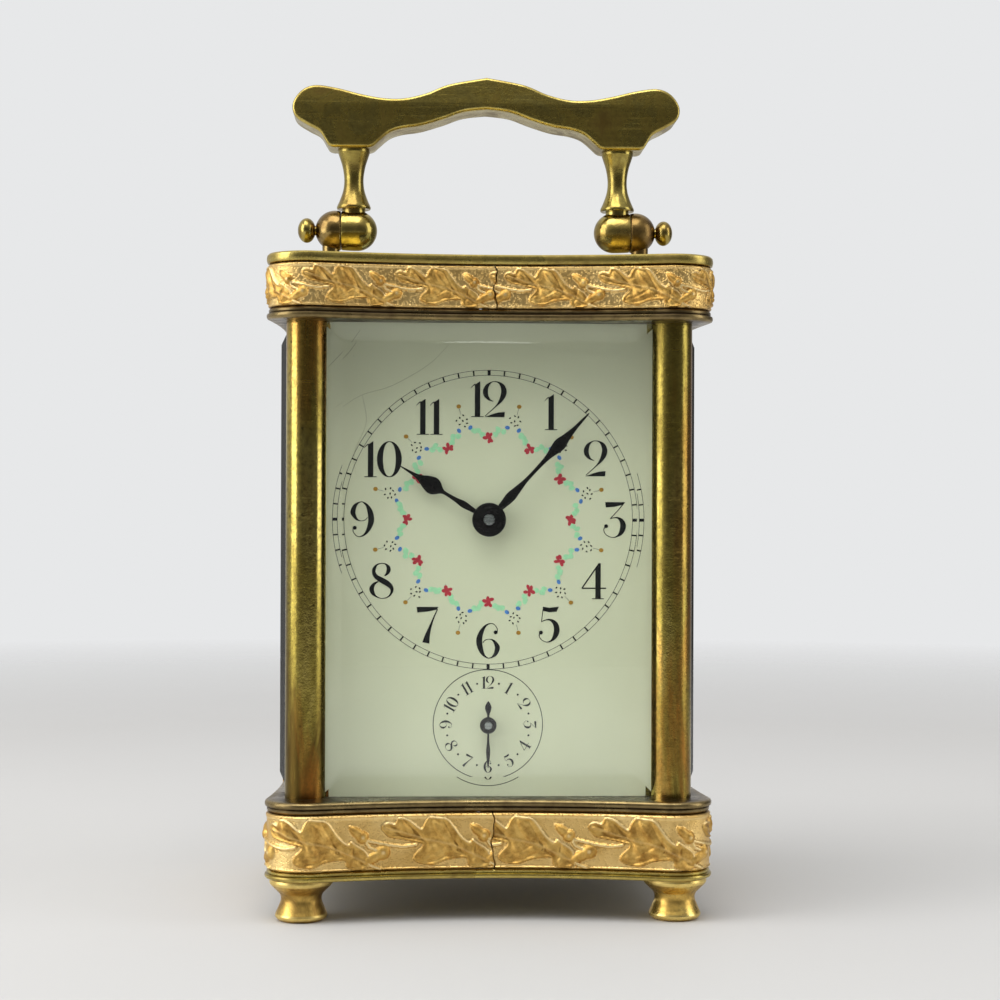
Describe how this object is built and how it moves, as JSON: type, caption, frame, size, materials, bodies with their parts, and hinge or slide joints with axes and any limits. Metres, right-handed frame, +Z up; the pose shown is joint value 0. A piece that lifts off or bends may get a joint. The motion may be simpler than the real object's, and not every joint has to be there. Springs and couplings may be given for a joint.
{
  "type": "carriage clock",
  "caption": "Brass four-glass carriage clock with an enamel dial and alarm, a folding handle, a rear door and a platform-escapement movement.",
  "frame": {"origin": "on the floor under the middle of the case, in the plane of the feet's undersides", "axes": "+Z up, the dial faces -Y, +X to the right when the dial is looked at"},
  "size_m": [0.0876, 0.075, 0.1683],
  "materials": {
    "aged_brass": "aged olive-brown brass, worn brighter on the edges",
    "dark_bronze": "dark brown bronze patina",
    "gilt": "bright gilding, matt on the leaves and burnished on the ground and fillets",
    "column_brass": "polished brass with orange-brown and green tarnish",
    "glass": "clear bevelled glass, slightly green at its edges",
    "enamel": "pale cream-green vitreous enamel with black numerals and painted roses",
    "black_steel": "blackened blued steel",
    "movement_brass": "fine-grained lacquered brass",
    "blue_steel": "heat-blued steel",
    "steel": "polished steel"
  },
  "bodies": {
    "case": {"base_bottom_plate": "aged_brass", "base_band": "gilt", "base_top_plate": "dark_bronze", "foot_front_left": "aged_brass", "foot_front_right": "aged_brass", "foot_rear_left": "aged_brass", "foot_rear_right": "aged_brass", "column_front_left": "column_brass", "column_front_right": "column_brass", "column_rear_left": "column_brass", "column_rear_right": "column_brass", "top_frame_plate": "dark_bronze", "top_band": "gilt", "top_plate": "aged_brass", "top_glass": "glass", "front_glass": "glass", "left_glass": "glass", "right_glass": "glass", "knuckle_left": "aged_brass", "knuckle_right": "aged_brass", "case_screws": "steel", "front_movement_plate": "movement_brass", "back_movement_plate": "movement_brass", "movement_pillars": "movement_brass", "movement_screws": "blue_steel", "dial": "enamel", "gong": "blue_steel", "gong_block": "movement_brass", "platform": "movement_brass", "balance_cock": "movement_brass"},
    "handle": {"handle_bar": "aged_brass", "handle_leg_left": "aged_brass", "handle_leg_right": "aged_brass", "pivot_screws": "aged_brass"},
    "door": {"door_frame": "aged_brass", "door_glass": "glass", "door_knob": "aged_brass"},
    "minute_arbor": {"minute_hand": "black_steel", "setting_arbor": "steel"},
    "minute_wheel": {"minute_wheel": "movement_brass"},
    "hour_wheel": {"hour_hand": "black_steel", "hour_wheel": "movement_brass"},
    "alarm_idler": {"alarm_idler": "movement_brass"},
    "alarm_wheel": {"alarm_wheel": "movement_brass"},
    "alarm_arbor": {"alarm_hand": "black_steel", "alarm_arbor": "steel"},
    "going_barrel": {"going_barrel": "movement_brass"},
    "going_winding_arbor": {"going_winding_arbor": "steel"},
    "second_wheel": {"second_wheel": "movement_brass"},
    "centre_wheel": {"centre_wheel": "movement_brass"},
    "third_wheel": {"third_wheel": "movement_brass"},
    "contrate_wheel": {"contrate_wheel": "movement_brass"},
    "escape_wheel": {"escape_wheel": "steel"},
    "lever": {"lever": "steel"},
    "balance": {"balance_wheel": "movement_brass", "hairspring": "blue_steel"},
    "alarm_barrel": {"alarm_barrel": "movement_brass"},
    "alarm_winding_arbor": {"alarm_winding_arbor": "steel"},
    "alarm_escape_wheel": {"alarm_escape_wheel": "movement_brass"},
    "hammer": {"hammer": "steel"}
  },
  "joints": [
    {"name": "handle_fold", "type": "hinge", "parent": "case", "child": "handle", "pos_m": [0, 0, 0.137], "axis": [1, 0, 0], "range_deg": [-95, 95]},
    {"name": "door_open", "type": "hinge", "parent": "case", "child": "door", "pos_m": [-0.0305, 0.028, 0.0695], "axis": [0, 0, 1], "range_deg": [0, 105]},
    {"name": "minute_turn", "type": "hinge", "parent": "case", "child": "minute_arbor", "pos_m": [0, 0, 0.0773], "axis": [0, 1, 0], "continuous": true},
    {"name": "minute_wheel_turn", "type": "hinge", "parent": "case", "child": "minute_wheel", "pos_m": [0.00509, 0, 0.07221], "axis": [0, 1, 0], "continuous": true},
    {"name": "hour_turn", "type": "hinge", "parent": "case", "child": "hour_wheel", "pos_m": [0, 0, 0.0773], "axis": [0, 1, 0], "continuous": true},
    {"name": "alarm_idler_turn", "type": "hinge", "parent": "case", "child": "alarm_idler", "pos_m": [-0.00468, 0, 0.0571], "axis": [0, 1, 0], "continuous": true},
    {"name": "alarm_wheel_turn", "type": "hinge", "parent": "case", "child": "alarm_wheel", "pos_m": [0, 0, 0.0369], "axis": [0, 1, 0], "continuous": true},
    {"name": "alarm_set", "type": "hinge", "parent": "case", "child": "alarm_arbor", "pos_m": [0, 0, 0.0369], "axis": [0, 1, 0], "continuous": true},
    {"name": "going_barrel_turn", "type": "hinge", "parent": "case", "child": "going_barrel", "pos_m": [0.0135, 0, 0.051], "axis": [0, 1, 0], "continuous": true},
    {"name": "going_wind", "type": "hinge", "parent": "case", "child": "going_winding_arbor", "pos_m": [0.0135, 0, 0.051], "axis": [0, 1, 0], "continuous": true},
    {"name": "second_wheel_turn", "type": "hinge", "parent": "case", "child": "second_wheel", "pos_m": [0.00318, 0, 0.06604], "axis": [0, 1, 0], "continuous": true},
    {"name": "centre_wheel_turn", "type": "hinge", "parent": "case", "child": "centre_wheel", "pos_m": [0, 0, 0.0773], "axis": [0, 1, 0], "continuous": true},
    {"name": "third_wheel_turn", "type": "hinge", "parent": "case", "child": "third_wheel", "pos_m": [-0.00767, 0, 0.08565], "axis": [0, 1, 0], "continuous": true},
    {"name": "contrate_wheel_turn", "type": "hinge", "parent": "case", "child": "contrate_wheel", "pos_m": [0, 0, 0.093], "axis": [0, 1, 0], "continuous": true},
    {"name": "escape_wheel_turn", "type": "hinge", "parent": "case", "child": "escape_wheel", "pos_m": [0, -0.0054, 0.108], "axis": [0, 0, 1], "continuous": true},
    {"name": "lever_rock", "type": "hinge", "parent": "case", "child": "lever", "pos_m": [0, -0.0005, 0.108], "axis": [0, 0, 1], "range_deg": [-5, 5]},
    {"name": "balance_swing", "type": "hinge", "parent": "case", "child": "balance", "pos_m": [0, 0.0052, 0.1106], "axis": [0, 0, 1], "range_deg": [-270, 270], "stiffness_Nm_per_rad": 0.0000001},
    {"name": "alarm_barrel_turn", "type": "hinge", "parent": "case", "child": "alarm_barrel", "pos_m": [-0.016, 0, 0.047], "axis": [0, 1, 0], "continuous": true},
    {"name": "alarm_wind", "type": "hinge", "parent": "case", "child": "alarm_winding_arbor", "pos_m": [-0.016, 0, 0.047], "axis": [0, 1, 0], "continuous": true},
    {"name": "alarm_escape_turn", "type": "hinge", "parent": "case", "child": "alarm_escape_wheel", "pos_m": [-0.01964, 0, 0.06058], "axis": [0, 1, 0], "continuous": true},
    {"name": "hammer_strike", "type": "hinge", "parent": "case", "child": "hammer", "pos_m": [-0.01815, 0, 0.06905], "axis": [0, 1, 0], "range_deg": [0, 20], "stiffness_Nm_per_rad": 0.0005}
  ],
  "couplings": [
    {"joint": "minute_wheel_turn", "follows": "minute_turn", "ratio": -0.33333},
    {"joint": "hour_turn", "follows": "minute_turn", "ratio": 0.083333},
    {"joint": "alarm_idler_turn", "follows": "minute_turn", "ratio": -0.032051},
    {"joint": "alarm_wheel_turn", "follows": "minute_turn", "ratio": 0.083333},
    {"joint": "centre_wheel_turn", "follows": "minute_turn", "ratio": 1},
    {"joint": "second_wheel_turn", "follows": "minute_turn", "ratio": -0.18182},
    {"joint": "going_barrel_turn", "follows": "minute_turn", "ratio": 0.025974},
    {"joint": "third_wheel_turn", "follows": "minute_turn", "ratio": -8},
    {"joint": "contrate_wheel_turn", "follows": "minute_turn", "ratio": 60},
    {"joint": "escape_wheel_turn", "follows": "minute_turn", "ratio": 600},
    {"joint": "alarm_escape_turn", "follows": "alarm_barrel_turn", "ratio": -6.4}
  ]
}
